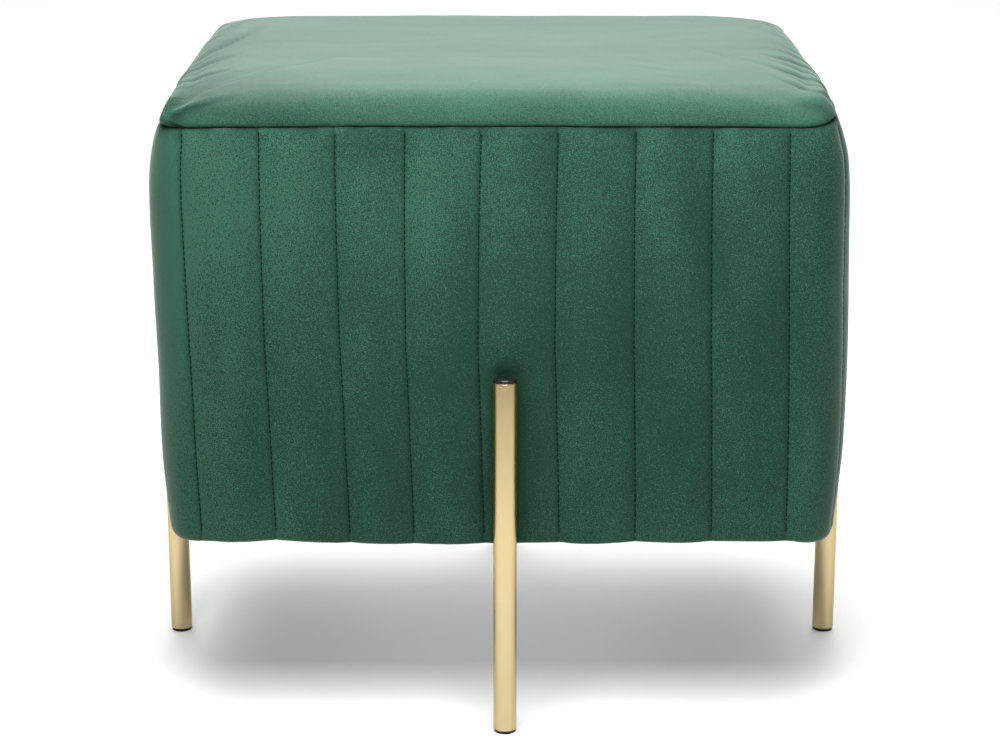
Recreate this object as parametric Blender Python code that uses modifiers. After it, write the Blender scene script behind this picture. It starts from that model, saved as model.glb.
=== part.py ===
"""Cube pouf stool: a padded velvet cube with sewn channels, a plain rolled top and four tube legs.

Run with: blender --background --python part.py
The origin is on the floor under the middle of the stool. +X is the stool's right, -Y its front.
"""
import math

import bmesh
import bpy

MM = 0.001

# Overall sizes, over the legs.
STOOL_WIDTH = 480 * MM
STOOL_DEPTH = 380 * MM

# Legs: round tubes with a plug in the top end and a glide in the foot.
TUBE_RADIUS = 7.5 * MM
TUBE_WALL = 1.2 * MM
TUBE_TOP = 235.1 * MM
TUBE_STEPS = 28
FRONT_LEG_ASIDE = 1.6 * MM           # the front leg stands a little right of the middle
PLUG_LIP_RADIUS = 7.3 * MM
PLUG_LIP_HEIGHT = 0.9 * MM
PLUG_DOME_HEIGHT = 2.4 * MM
PLUG_DOME_ROWS = 4
STEM_LENGTH = 14 * MM
GLIDE_HEIGHT = 1.8 * MM
GLIDE_RADIUS = 7.0 * MM
GLIDE_EDGE = 0.5 * MM

# Air between pieces that touch in the real stool.
CLEAR = 0.3 * MM

# The padded cube, seen from above: a rounded rectangle out to the channels' crests.
CUBE_HALF_WIDTH = 218.8 * MM
CUBE_HALF_DEPTH = 172.5 * MM
CUBE_CORNER_RADIUS = 31 * MM

# The faces bow out towards the middle by these amounts, low down and up at the top seam.
SIDE_BOW_LOW = 7.4 * MM
SIDE_BOW_HIGH = 5.0 * MM
FRONT_BOW_LOW = 3.8 * MM
FRONT_BOW_HIGH = -8.0 * MM
BOW_CHANGES_FROM = 250 * MM
BOW_CHANGES_TO = 375 * MM

# The padding leans a little to the left above the legs, and widens a little towards its back.
LEAN = -1.9 * MM
LEAN_FROM = 220 * MM
LEAN_TO = 360 * MM
SPLAY = 4.5 * MM

# Channelled side band: height above the floor, and how far the cloth lies in from the widest line.
BAND_SECTIONS = (
    # height_mm, inset_mm
    (123.8, 10.5),
    (124.5, 6.8),
    (127.5, 4.8),
    (133.0, 3.9),
    (142.0, 3.0),
    (156.0, 1.8),
    (185.0, 0.2),
    (240.0, 0.0),
    (300.0, 0.0),
    (344.0, 0.1),
    (365.0, 1.3),
    (379.0, 3.6),
    (387.0, 6.2),
    (391.0, 10.0),
)
BAND_TOP_RECESS = (386.0, 28.0)     # height_mm and inset_mm of the hidden ring under the top panel

# Plain top panel: from the seam up the roll and on over the seat, which slopes down gently to the front.
TOP_SECTIONS = (
    # height and inset on the sides and back, height and inset on the front, in mm
    (391.3, 10.4, 391.3, 10.4),
    (391.6, 9.2, 391.6, 9.4),
    (393.5, 8.6, 393.2, 8.9),
    (398.0, 10.0, 397.0, 10.2),
    (404.5, 12.6, 401.2, 13.0),
    (411.5, 15.2, 405.2, 17.2),
    (418.0, 18.6, 408.8, 23.2),
    (423.0, 22.8, 411.5, 30.4),
    (426.2, 29.0, 413.3, 38.0),
    (427.5, 38.0, 414.8, 46.0),
    (428.1, 80.0, 419.3, 80.0),
    (428.4, 125.0, 423.6, 125.0),
    (428.6, 165.0, 426.6, 165.0),
)
WIDEST_SECTION = 2                   # the row of the table where the roll stands out furthest
FRONT_RISE = ((200.0, 428.1), (235.0, 428.6))    # inset_mm, height_mm: how the front half rises to the crown
TOP_CENTRE_HEIGHT = 428.6 * MM
ROLL_ENDS = 40 * MM                  # inset at which the bow and the gathers have died away
SMALLEST_CORNER = 4 * MM
TOP_CORNERS = {
    # signs of x and y: radius that the corner gains for each mm further in from the seam
    (1, -1): 0.3,
    (1, 1): 1.6,
    (-1, 1): 1.6,
    (-1, -1): -1.8,
}
PINCHED_CORNER = (-1, -1)
PINCHED_WITHIN = 6 * MM              # height above the seam in which that corner turns sharp

# The top seam runs higher on the two sides than at the front, and pulls the sides in.
SIDE_SEAM_RISE = 12.5 * MM
SEAM_RISES_WITHIN = 95 * MM          # distance it takes for that, round each corner
LEFT_SEAM_RISES_FROM = 36 * MM       # past the left front corner the seam stays low for longer
SIDE_DRAWN_IN = 5 * MM
BAND_RISES_FROM = 330 * MM
TOP_RISES_TO = 420 * MM

# Sewn channels of the side band.
CHANNEL_COUNT = 32
SEAM_DEPTH = 3.2 * MM
SEAM_DEPTH_AT_ENDS = 0.3             # share of the depth left where a seam runs out
SEAM_RUN_OUT = 9 * MM
CHANNEL_COLUMNS = (0.0, 0.07, 0.22, 0.5, 0.78, 0.93)     # shares of a channel's width
SEAM_TABLE_HEIGHTS = (137 * MM, 255 * MM, 381 * MM)
FRONT_SEAMS = (
    # distance from the front's centre line, in mm: foot_mm, middle_mm, top_mm
    (-194.5, -197.1, -198.9),
    (-145.5, -148.9, -148.6),
    (-97.9, -101.7, -101.8),
    (-56.8, -60.3, -58.5),
    (-11.9, -15.2, -11.4),
    (36.3, 33.1, 36.3),
    (85.1, 82.7, 84.5),
    (134.0, 131.1, 132.0),
    (182.2, 180.2, 179.3),
)

# Where a leg leans on the cloth, the padding is pressed flat behind it.
PRESSED_HALF_WIDTH = 12 * MM
PRESSED_FADE_ASIDE = 16 * MM
PRESSED_ABOVE_TUBE = 5 * MM
PRESSED_FADE_UPWARDS = 18 * MM

# Gathers: troughs that run in from the side seams over the roll of the top panel.
GATHERS = (
    # side (-1 left, +1 right), y_mm, reach_mm, depth_mm, half_width_mm
    (-1, 118.0, 36.0, 3.2, 9.0),
    (-1, 52.0, 42.0, 3.6, 10.0),
    (-1, -40.0, 34.0, 3.0, 9.0),
    (-1, -92.0, 40.0, 2.2, 13.0),
    (1, 92.0, 48.0, 2.2, 20.0),
    (1, -22.0, 38.0, 2.8, 9.0),
    (1, -88.0, 40.0, 3.4, 9.0),
    (1, -122.0, 36.0, 3.0, 9.0),
)
TOP_COLUMNS = 224

VELVET = (0.033, 0.105, 0.065, 1.0)
GOLD = (0.70, 0.52, 0.25, 1.0)
BLACK = (0.012, 0.012, 0.013, 1.0)


def smooth_step(low, high, value):
    """Return 0 below low, 1 above high and a soft curve between."""
    share = min(1.0, max(0.0, (value - low) / (high - low)))
    return share * share * (3 - 2 * share)


def table_value(heights, values, height):
    """Read a table of values against heights, straight between its rows."""
    if height <= heights[0]:
        return values[0]
    for low, high, value_low, value_high in zip(heights, heights[1:], values, values[1:]):
        if height <= high:
            return value_low + (value_high - value_low) * (height - low) / (high - low)
    return values[-1]


# ---------------------------------------------------------------- the cube's outline from above

STRAIGHT_X = CUBE_HALF_WIDTH - CUBE_CORNER_RADIUS
STRAIGHT_Y = CUBE_HALF_DEPTH - CUBE_CORNER_RADIUS
QUARTER_TURN = CUBE_CORNER_RADIUS * math.pi / 2
PERIMETER = 4 * (STRAIGHT_X + STRAIGHT_Y + QUARTER_TURN)

# The outline as eight stretches, counterclockwise from the left end of the front.
STRETCHES = (
    # kind, length, centre or middle as signs of (x, y), direction of the outward normal at its start
    ("straight", 2 * STRAIGHT_X, (0, -1), -90),
    ("corner", QUARTER_TURN, (1, -1), -90),
    ("straight", 2 * STRAIGHT_Y, (1, 0), 0),
    ("corner", QUARTER_TURN, (1, 1), 0),
    ("straight", 2 * STRAIGHT_X, (0, 1), 90),
    ("corner", QUARTER_TURN, (-1, 1), 90),
    ("straight", 2 * STRAIGHT_Y, (-1, 0), 180),
    ("corner", QUARTER_TURN, (-1, -1), 180),
)


def band_radius(_, inset):
    """Corner radius of the side band, which shrinks with the inset."""
    return max(SMALLEST_CORNER, CUBE_CORNER_RADIUS - inset)


def top_radius(corner, inset, height):
    """Corner radius of the top panel: pinched at the left front, rounder at the back."""
    seam_inset = TOP_SECTIONS[0][1] * MM
    at_seam = CUBE_CORNER_RADIUS - seam_inset
    radius = at_seam + TOP_CORNERS[corner] * (inset - seam_inset)
    if corner == PINCHED_CORNER:
        pinched = smooth_step(0, PINCHED_WITHIN, height - TOP_SECTIONS[0][0] * MM)
        radius = min(radius, at_seam + (SMALLEST_CORNER - at_seam) * pinched)
    return min(max(SMALLEST_CORNER, radius), 0.9 * (CUBE_HALF_DEPTH - inset))


def outline_point(distance, inset, radius_at):
    """Return x, y and the outward normal of the outline at a distance round it.

    The distance is measured on the widest line, counterclockwise from the front's centre line.
    An inset line runs inside it, with its own corner radii.
    """
    half_x, half_y = CUBE_HALF_WIDTH - inset, CUBE_HALF_DEPTH - inset
    left = (distance + STRAIGHT_X) % PERIMETER
    for kind, length, (sign_x, sign_y), normal_degrees in STRETCHES:
        if left <= length:
            break
        left -= length
    share = min(1.0, left / length)
    if kind == "corner":
        radius = radius_at((sign_x, sign_y), inset)
        angle = math.radians(normal_degrees + 90 * share)
        normal = (math.cos(angle), math.sin(angle))
        x = sign_x * (half_x - radius) + radius * normal[0]
        y = sign_y * (half_y - radius) + radius * normal[1]
        return x, y, normal
    ends = []
    for corner in ((sign_x + sign_y, sign_y - sign_x), (sign_x - sign_y, sign_y + sign_x)):
        radius = radius_at(corner, inset)
        ends.append((corner[0] * (half_x - radius * abs(sign_y)), corner[1] * (half_y - radius * abs(sign_x))))
    x = ends[0][0] + (ends[1][0] - ends[0][0]) * share
    y = ends[0][1] + (ends[1][1] - ends[0][1]) * share
    return x, y, (float(sign_x), float(sign_y))


def bow(x, y, normal, height, inset):
    """How far a face stands out beyond its corners, which dies away on the seat."""
    change = smooth_step(BOW_CHANGES_FROM, BOW_CHANGES_TO, height)
    side = SIDE_BOW_LOW + (SIDE_BOW_HIGH - SIDE_BOW_LOW) * change
    front = FRONT_BOW_LOW + (FRONT_BOW_HIGH - FRONT_BOW_LOW) * change
    side_share = max(0.0, 1 - (y / CUBE_HALF_DEPTH) ** 2) * normal[0] ** 2
    front_share = max(0.0, 1 - (x / CUBE_HALF_WIDTH) ** 2) * normal[1] ** 2
    fade = 1 - smooth_step(0, ROLL_ENDS, inset)
    return (side * side_share + front * front_share) * fade


def sideways(x, y, height):
    """How far the padding leans and splays to the side at a point."""
    leaning = LEAN * smooth_step(LEAN_FROM, LEAN_TO, height)
    backward = (y / CUBE_HALF_DEPTH + 1) / 2
    splaying = SPLAY * x / CUBE_HALF_WIDTH * backward
    return leaning + splaying * smooth_step(BOW_CHANGES_FROM, BOW_CHANGES_TO, height)


def seam_rise(distance):
    """How much higher the top seam runs at a distance round the cube than at the front."""
    past_corner = (distance + STRAIGHT_X) % (PERIMETER / 2) - 2 * STRAIGHT_X
    to_corner = 2 * (STRAIGHT_Y + QUARTER_TURN) - past_corner
    if (distance + STRAIGHT_X) % PERIMETER > PERIMETER / 2:
        to_corner -= LEFT_SEAM_RISES_FROM
    return SIDE_SEAM_RISE * smooth_step(0, SEAM_RISES_WITHIN, min(past_corner, to_corner))


def drawn_in(distance, z):
    """How far the raised seam pulls the sides in, at a height above the floor."""
    near_seam = smooth_step(365 * MM, 395 * MM, z) * (1 - smooth_step(406 * MM, 421 * MM, z))
    return SIDE_DRAWN_IN * seam_rise(distance) / SIDE_SEAM_RISE * near_seam


# ---------------------------------------------------------------- sewn channels and leg dents

def seam_distance(seam, height):
    """Distance round the cube of one sewn seam, at a height. Seams count round from the left."""
    lap, seam = divmod(seam, CHANNEL_COUNT)
    start = lap * PERIMETER
    if seam < len(FRONT_SEAMS):
        return start + table_value(SEAM_TABLE_HEIGHTS, FRONT_SEAMS[seam], height) * MM
    last = table_value(SEAM_TABLE_HEIGHTS, FRONT_SEAMS[-1], height) * MM
    first = table_value(SEAM_TABLE_HEIGHTS, FRONT_SEAMS[0], height) * MM + PERIMETER
    share = (seam - len(FRONT_SEAMS) + 1) / (CHANNEL_COUNT - len(FRONT_SEAMS) + 1)
    return start + last + (first - last) * share


def channel_relief(share, height):
    """Depth of the cloth below a channel's crest, at a share of the channel's width."""
    across = abs(2 * share - 1)
    fullness = math.sqrt(max(0.0, 1 - across ** 3))
    top = BAND_SECTIONS[-1][0] * MM
    foot = BAND_SECTIONS[0][0] * MM
    run_out = min(smooth_step(0, SEAM_RUN_OUT, top - height), smooth_step(0, SEAM_RUN_OUT, height - foot))
    depth = SEAM_DEPTH * (SEAM_DEPTH_AT_ENDS + (1 - SEAM_DEPTH_AT_ENDS) * run_out)
    return depth * (1 - fullness)


def leg_places():
    """Name, centre and outward direction of each leg."""
    reach_x = STOOL_WIDTH / 2 - TUBE_RADIUS
    reach_y = STOOL_DEPTH / 2 - TUBE_RADIUS
    return (
        ("front", (FRONT_LEG_ASIDE, -reach_y), (0, -1)),
        ("right", (reach_x, 0.0), (1, 0)),
        ("back", (0.0, reach_y), (0, 1)),
        ("left", (-reach_x, 0.0), (-1, 0)),
    )


def pressed_back(x, y, normal, height):
    """How far the cloth at a point is pushed back by a leg that leans on it."""
    for _, (leg_x, leg_y), (out_x, out_y) in leg_places():
        if normal[0] * out_x + normal[1] * out_y < 0.9:
            continue
        face = x * out_x + y * out_y
        seat = leg_x * out_x + leg_y * out_y - TUBE_RADIUS - CLEAR
        aside = abs((x - leg_x) * out_y - (y - leg_y) * out_x)
        beside = 1 - smooth_step(PRESSED_HALF_WIDTH, PRESSED_HALF_WIDTH + PRESSED_FADE_ASIDE, aside)
        top = TUBE_TOP + PRESSED_ABOVE_TUBE
        above = 1 - smooth_step(top, top + PRESSED_FADE_UPWARDS, height)
        return max(0.0, face - seat) * beside * above
    return 0.0


def band_point(distance, share, height, inset):
    """A point of the side band's cloth."""
    x, y, normal = outline_point(distance, inset, band_radius)
    z = height + seam_rise(distance) * smooth_step(BAND_RISES_FROM, BAND_SECTIONS[-1][0] * MM, height)
    out = bow(x, y, normal, height, inset) - channel_relief(share, height) - drawn_in(distance, z)
    x += normal[0] * out + sideways(x, y, height)
    y += normal[1] * out
    back = pressed_back(x, y, normal, height)
    return (x - normal[0] * back, y - normal[1] * back, z)


# ---------------------------------------------------------------- the top panel's seat and gathers

def seat_height(x, y):
    """Height of the seat at a point: the drops of the rolls at the sides, back and front, added together."""
    outer = TOP_SECTIONS[WIDEST_SECTION:]
    side = [(row[1] * MM, row[0] * MM) for row in outer]
    front = [(row[3] * MM, row[2] * MM) for row in outer]
    front += [(inset_mm * MM, height_mm * MM) for inset_mm, height_mm in FRONT_RISE]
    drop = 0.0
    for away, profile in ((CUBE_HALF_WIDTH - abs(x), side), (CUBE_HALF_DEPTH - y, side),
                          (CUBE_HALF_DEPTH + y, front)):
        insets, heights = zip(*profile)
        drop += TOP_CENTRE_HEIGHT - table_value(insets, heights, away)
    return TOP_CENTRE_HEIGHT - drop


def gather_depth(x, y, normal, inset):
    """How deep the troughs of the gathers are at a point of the top panel."""
    depth = 0.0
    for side, middle_mm, reach_mm, depth_mm, half_width_mm in GATHERS:
        if side * x < 0:
            continue
        across = (y - middle_mm * MM) / (half_width_mm * MM)
        fade = 1 - smooth_step(0.35 * reach_mm * MM, reach_mm * MM, inset)
        depth += depth_mm * MM * math.exp(-across * across) * fade
    return depth * normal[0] ** 2


def top_point(distance, section):
    """A point of the top panel's cloth, at a distance round the cube and on one row of its table."""
    side_height, side_inset, front_height, front_inset = (value * MM for value in section)
    _, _, facing = outline_point(distance, 0.0, band_radius)
    frontness = facing[1] ** 2 if facing[1] < 0 else 0.0
    height = side_height + (front_height - side_height) * frontness
    inset = side_inset + (front_inset - side_inset) * frontness
    section_height = height
    x, y, normal = outline_point(distance, inset, lambda corner, at: top_radius(corner, at, section_height))
    on_seat = smooth_step(12 * MM, 26 * MM, inset) * (1 - smooth_step(-20 * MM, 60 * MM, y))
    height += (seat_height(x, y) - height) * on_seat
    height += seam_rise(distance) * (1 - smooth_step(TOP_SECTIONS[0][0] * MM, TOP_RISES_TO, height))
    trough = gather_depth(x, y, normal, inset)
    steepness = 1 - smooth_step(TOP_SECTIONS[0][1] * MM, ROLL_ENDS, inset)
    out = bow(x, y, normal, height, inset) - trough * steepness - drawn_in(distance, height)
    drop = trough * (1 - steepness)
    return (x + normal[0] * out + sideways(x, y, height), y + normal[1] * out, height - drop)


# ---------------------------------------------------------------- building

def finish(name, colour, roughness, metallic):
    """A plain material for one sub-part."""
    material = bpy.data.materials.new(name)
    material.use_nodes = True
    shader = material.node_tree.nodes["Principled BSDF"]
    shader.inputs["Base Color"].default_value = colour
    shader.inputs["Roughness"].default_value = roughness
    shader.inputs["Metallic"].default_value = metallic
    material.diffuse_color = colour
    return material


def add_object(name, mesh, collection, material):
    """Put a mesh in the stool's collection as one named object."""
    stool_object = bpy.data.objects.new(name, mesh)
    collection.objects.link(stool_object)
    mesh.materials.append(material)
    return stool_object


def wrapped_solid(name, columns, rows, place, floor_centre, roof_centre):
    """Shape a capped cylinder of rows and columns by a function of column and row."""
    shape = bmesh.new()
    bmesh.ops.create_cone(shape, segments=columns, radius1=1, radius2=1, depth=1, cap_ends=True)
    uprights = [edge for edge in shape.edges if abs(edge.verts[0].co.z - edge.verts[1].co.z) > 0.5]
    bmesh.ops.subdivide_edges(shape, edges=uprights, cuts=rows - 2, use_grid_fill=True)
    caps = [face for face in shape.faces if abs(face.normal.z) > 0.5]
    bmesh.ops.poke(shape, faces=caps)
    for vertex in shape.verts:
        x, y, z = vertex.co
        if math.hypot(x, y) < 0.5:
            vertex.co = roof_centre if z > 0 else floor_centre
            continue
        column = round(math.atan2(x, -y) / (2 * math.pi) * columns) % columns
        row = round((z + 0.5) * (rows - 1))
        vertex.co = place(column, row)
    bmesh.ops.recalc_face_normals(shape, faces=shape.faces)
    mesh = bpy.data.meshes.new(name)
    shape.to_mesh(mesh)
    shape.free()
    mesh.shade_smooth()
    mesh.set_sharp_from_angle(angle=math.radians(50))
    return mesh


def side_band(collection):
    """The channelled band with its filling: one padded solid from the underside to the top seam."""
    sections = BAND_SECTIONS + (BAND_TOP_RECESS,)
    per_channel = len(CHANNEL_COLUMNS)

    def place(column, row):
        height, inset = sections[row][0] * MM, sections[row][1] * MM
        channel, part = divmod(column, per_channel)
        share = CHANNEL_COLUMNS[part]
        start = seam_distance(channel, height)
        end = seam_distance(channel + 1, height)
        # The first column sits on the front seam left of the centre line.
        return band_point(start + (end - start) * share, share, height, inset)

    mesh = wrapped_solid("side_band", CHANNEL_COUNT * per_channel, len(sections), place,
                         (0, 0, BAND_SECTIONS[0][0] * MM), (0, 0, BAND_TOP_RECESS[0] * MM))
    return add_object("side_band", mesh, collection, finish("velvet band", VELVET, 0.85, 0.0))


def top_panel(collection):
    """The plain top panel with its rolled edge: one padded solid above the seam."""
    def place(column, row):
        return top_point(PERIMETER * column / TOP_COLUMNS, TOP_SECTIONS[row])

    mesh = wrapped_solid("top_panel", TOP_COLUMNS, len(TOP_SECTIONS), place,
                         (0, 0, TOP_SECTIONS[0][0] * MM), (0, 0, seat_height(0, 0)))
    return add_object("top_panel", mesh, collection, finish("velvet top", VELVET, 0.85, 0.0))


def turned_mesh(name, profile, closed):
    """A profile in the XZ plane as an open edge chain, ready for a Screw modifier."""
    mesh = bpy.data.meshes.new(name)
    shape = bmesh.new()
    points = [shape.verts.new((radius, 0, height)) for radius, height in profile]
    for start, end in zip(points, points[1:]):
        shape.edges.new((start, end))
    if closed:
        shape.edges.new((points[-1], points[0]))
    shape.to_mesh(mesh)
    shape.free()
    return mesh


def turned_object(name, profile, closed, centre, collection, material):
    """Turn a profile round the leg's own axis."""
    turned = add_object(name, turned_mesh(name, profile, closed), collection, material)
    turned.location = (centre[0], centre[1], 0)
    screw = turned.modifiers.new("turn", "SCREW")
    screw.steps = TUBE_STEPS
    screw.render_steps = TUBE_STEPS
    screw.use_merge_vertices = True
    screw.merge_threshold = 0.01 * MM
    screw.use_smooth_shade = True
    return turned


def tube_profile():
    """The tube's wall, down its outer side and up its bore."""
    foot = GLIDE_HEIGHT + CLEAR
    bore = TUBE_RADIUS - TUBE_WALL
    return ((TUBE_RADIUS, TUBE_TOP), (TUBE_RADIUS, foot), (bore, foot), (bore, TUBE_TOP))


def plug_profile():
    """A domed plug: over the dome, down the lip, in to the stem and down it."""
    stem = TUBE_RADIUS - TUBE_WALL - CLEAR
    seat = TUBE_TOP + CLEAR
    profile = []
    for row in range(PLUG_DOME_ROWS + 1):
        angle = math.pi / 2 * (1 - row / PLUG_DOME_ROWS)
        profile.append((PLUG_LIP_RADIUS * math.cos(angle),
                        seat + PLUG_LIP_HEIGHT + PLUG_DOME_HEIGHT * math.sin(angle)))
    profile[0] = (0.0, profile[0][1])
    profile += [(PLUG_LIP_RADIUS, seat), (stem, seat), (stem, seat - STEM_LENGTH), (0.0, seat - STEM_LENGTH)]
    return profile


def glide_profile():
    """A foot glide: from the top of its stem down to the flat that stands on the floor."""
    stem = TUBE_RADIUS - TUBE_WALL - CLEAR
    top = GLIDE_HEIGHT + STEM_LENGTH
    return ((0.0, top), (stem, top), (stem, GLIDE_HEIGHT), (GLIDE_RADIUS, GLIDE_HEIGHT),
            (GLIDE_RADIUS, GLIDE_EDGE), (GLIDE_RADIUS - GLIDE_EDGE, 0.0), (0.0, 0.0))


def legs(collection):
    """Four tube legs, each with its end plug and foot glide."""
    gold = finish("gold tube", GOLD, 0.35, 1.0)
    plastic = finish("black plastic", BLACK, 0.45, 0.0)
    for name, centre, _ in leg_places():
        turned_object("leg_" + name, tube_profile(), True, centre, collection, gold)
        turned_object("leg_plug_" + name, plug_profile(), False, centre, collection, plastic)
        turned_object("foot_glide_" + name, glide_profile(), False, centre, collection, plastic)


def main():
    for old in list(bpy.data.objects):
        bpy.data.objects.remove(old, do_unlink=True)
    collection = bpy.data.collections.new("cube pouf stool")
    bpy.context.scene.collection.children.link(collection)
    side_band(collection)
    top_panel(collection)
    legs(collection)


main()
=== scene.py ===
"""Looks of the cube pouf stool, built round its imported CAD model.

The cloth, the stitching and the turned leg pieces are made fine here, on the outline of the CAD solids.
Units are metres. +X is the stool's right, -Y its front, +Z up.
"""

import math

import bpy
import numpy as np
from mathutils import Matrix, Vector, noise


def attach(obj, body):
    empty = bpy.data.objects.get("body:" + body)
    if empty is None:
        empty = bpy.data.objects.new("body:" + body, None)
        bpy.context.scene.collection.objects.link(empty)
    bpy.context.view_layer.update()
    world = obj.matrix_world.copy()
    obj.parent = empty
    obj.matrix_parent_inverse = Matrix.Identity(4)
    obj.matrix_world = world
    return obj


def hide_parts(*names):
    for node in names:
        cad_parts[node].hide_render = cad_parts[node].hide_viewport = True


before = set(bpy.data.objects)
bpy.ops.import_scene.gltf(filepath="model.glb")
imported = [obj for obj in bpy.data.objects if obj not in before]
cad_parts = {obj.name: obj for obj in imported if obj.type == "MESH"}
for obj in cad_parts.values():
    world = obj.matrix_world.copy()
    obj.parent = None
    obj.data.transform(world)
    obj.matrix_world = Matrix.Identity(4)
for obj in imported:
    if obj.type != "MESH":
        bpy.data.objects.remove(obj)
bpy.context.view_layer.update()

MM = 0.001

# -------- sizes, as in the CAD source

STOOL_WIDTH = 480 * MM
STOOL_DEPTH = 380 * MM

TUBE_RADIUS = 7.5 * MM
TUBE_WALL = 1.2 * MM
TUBE_TOP = 235.1 * MM
FRONT_LEG_ASIDE = 1.6 * MM
CLEAR = 0.3 * MM
GLIDE_HEIGHT = 1.8 * MM
GLIDE_RADIUS = 7.0 * MM
PLUG_LIP_RADIUS = 7.3 * MM
PLUG_LIP_HEIGHT = 0.9 * MM
PLUG_DOME_HEIGHT = 2.4 * MM
STEM_LENGTH = 14 * MM

CUBE_HALF_WIDTH = 218.8 * MM
CUBE_HALF_DEPTH = 172.5 * MM
CUBE_CORNER_RADIUS = 31 * MM

SIDE_BOW_LOW = 7.4 * MM
SIDE_BOW_HIGH = 5.0 * MM
FRONT_BOW_LOW = 3.8 * MM
FRONT_BOW_HIGH = -8.0 * MM
BOW_CHANGES_FROM = 250 * MM
BOW_CHANGES_TO = 375 * MM
LEAN = -1.9 * MM
LEAN_FROM = 220 * MM
LEAN_TO = 360 * MM
SPLAY = 4.5 * MM

BAND_SECTIONS = (
    # height_mm, inset_mm: the turned-under hem, the side from foot to seam, and the hidden ring
    (124.8, 46.0),
    (124.8, 34.5),
    (124.4, 33.2),
    (123.8, 32.6),
    (123.8, 22.0),
    (123.8, 10.5),
    (124.5, 6.8),
    (127.5, 4.8),
    (133.0, 3.9),
    (142.0, 3.0),
    (156.0, 1.8),
    (185.0, 0.2),
    (240.0, 0.0),
    (300.0, 0.0),
    (344.0, 0.1),
    (365.0, 1.3),
    (379.0, 3.6),
    (386.0, 5.6),
    (389.6, 7.2),
    (390.8, 8.4),
    (391.0, 10.0),
    (389.0, 17.0),
    (386.0, 28.0),
)
BAND_FOOT = 123.8 * MM
BAND_TOP = 391.0 * MM
BAND_CENTRE_HEIGHT = 386.0 * MM
BAND_ROWS = 151

TOP_SECTIONS = (
    # height and inset on the sides and back, height and inset on the front, in mm
    (391.3, 10.4, 391.3, 10.4),
    (391.6, 9.2, 391.6, 9.4),
    (393.5, 8.6, 393.2, 8.9),
    (398.0, 10.0, 397.0, 10.2),
    (404.5, 12.6, 401.2, 13.0),
    (411.5, 15.2, 405.2, 17.2),
    (418.0, 18.6, 408.8, 23.2),
    (423.0, 22.8, 411.5, 30.4),
    (426.2, 29.0, 413.3, 38.0),
    (427.5, 38.0, 414.8, 46.0),
    (428.1, 80.0, 419.3, 80.0),
    (428.4, 125.0, 423.6, 125.0),
    (428.6, 165.0, 426.6, 165.0),
)
FRONT_RISE = ((200.0, 428.1), (235.0, 428.6))  # inset_mm, height_mm: how the front half rises to the crown
TOP_FLOOR = 391.3 * MM
TOP_CENTRE_HEIGHT = 428.6 * MM
TOP_ROWS = 65
ROLL_ENDS = 40 * MM
SIDE_SEAM_RISE = 12.5 * MM  # how much higher the top seam runs on the sides than at the front
SEAM_RISES_WITHIN = 95 * MM  # distance it takes for that, round each corner
LEFT_SEAM_RISES_FROM = 36 * MM  # past the left front corner the seam stays low for longer
SIDE_DRAWN_IN = 5 * MM
DRAWN_IN_WITHIN = (365 * MM, 395 * MM)  # heights over which the raised seam pulls the band in
LET_OUT_WITHIN = (406 * MM, 421 * MM)  # heights over which the roll comes out again
BAND_RISES_FROM = 330 * MM
TOP_RISES_TO = 420 * MM
SMALLEST_CORNER = 4 * MM
LARGEST_CORNER = 0.9  # share of the cube's half depth
TOP_CORNERS = {
    # signs of x and y: radius that the corner gains for each mm further in from the seam
    (1, -1): 0.3,
    (1, 1): 1.6,
    (-1, 1): 1.6,
    (-1, -1): -1.8,
}
PINCHED_CORNER = (-1, -1)
PINCHED_WITHIN = 6 * MM  # height above the seam in which that corner turns sharp

CHANNEL_COUNT = 32
SEAM_DEPTH = 3.2 * MM
SEAM_DEPTH_AT_ENDS = 0.3
SEAM_RUN_OUT = 9 * MM
CREST, CREST_POWER = 0.75, 4  # a channel's cross-section: its broad crest
LIPS, LIPS_POWER = 0.1, 34  # and the sharp lips at its seams
SEAM_TABLE_HEIGHTS = (137 * MM, 255 * MM, 381 * MM)
FRONT_SEAMS = (
    # distance from the front's centre line, in mm: foot_mm, middle_mm, top_mm
    (-194.5, -197.1, -198.9),
    (-145.5, -148.9, -148.6),
    (-97.9, -101.7, -101.8),
    (-56.8, -60.3, -58.5),
    (-11.9, -15.2, -11.4),
    (36.3, 33.1, 36.3),
    (85.1, 82.7, 84.5),
    (134.0, 131.1, 132.0),
    (182.2, 180.2, 179.3),
)
CHANNEL_COLUMNS = (
    # shares of a channel's width, closest together at the seams
    0.0, 0.011, 0.028, 0.055, 0.1, 0.165, 0.26, 0.38,
    0.5, 0.62, 0.74, 0.835, 0.9, 0.945, 0.972, 0.989,
)

PRESSED_HALF_WIDTH = 12 * MM
PRESSED_FADE_ASIDE = 16 * MM
PRESSED_ABOVE_TUBE = 5 * MM
PRESSED_FADE_UPWARDS = 18 * MM
FACES_LEG = 0.9  # cosine of the angle to a leg, above which the cloth is pressed
LEG_SHADES = (
    # painted shade beside a leg, and in the dent above it: darkness, half width, height over the tube, half
    # height
    (0.5, 10 * MM, 0.0, 8 * MM),
    (0.8, 2.2 * MM, 5 * MM, 4 * MM),
)

GATHERS = (
    # side (-1 left, +1 right), y_mm, reach_mm, depth_mm, half_width_mm
    (-1, 118.0, 36.0, 3.2, 9.0),
    (-1, 52.0, 42.0, 3.6, 10.0),
    (-1, -40.0, 34.0, 3.0, 9.0),
    (-1, -92.0, 40.0, 2.2, 13.0),
    (1, 92.0, 48.0, 2.2, 20.0),
    (1, -22.0, 38.0, 2.8, 9.0),
    (1, -88.0, 40.0, 3.4, 9.0),
    (1, -122.0, 36.0, 3.0, 9.0),
)

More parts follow.
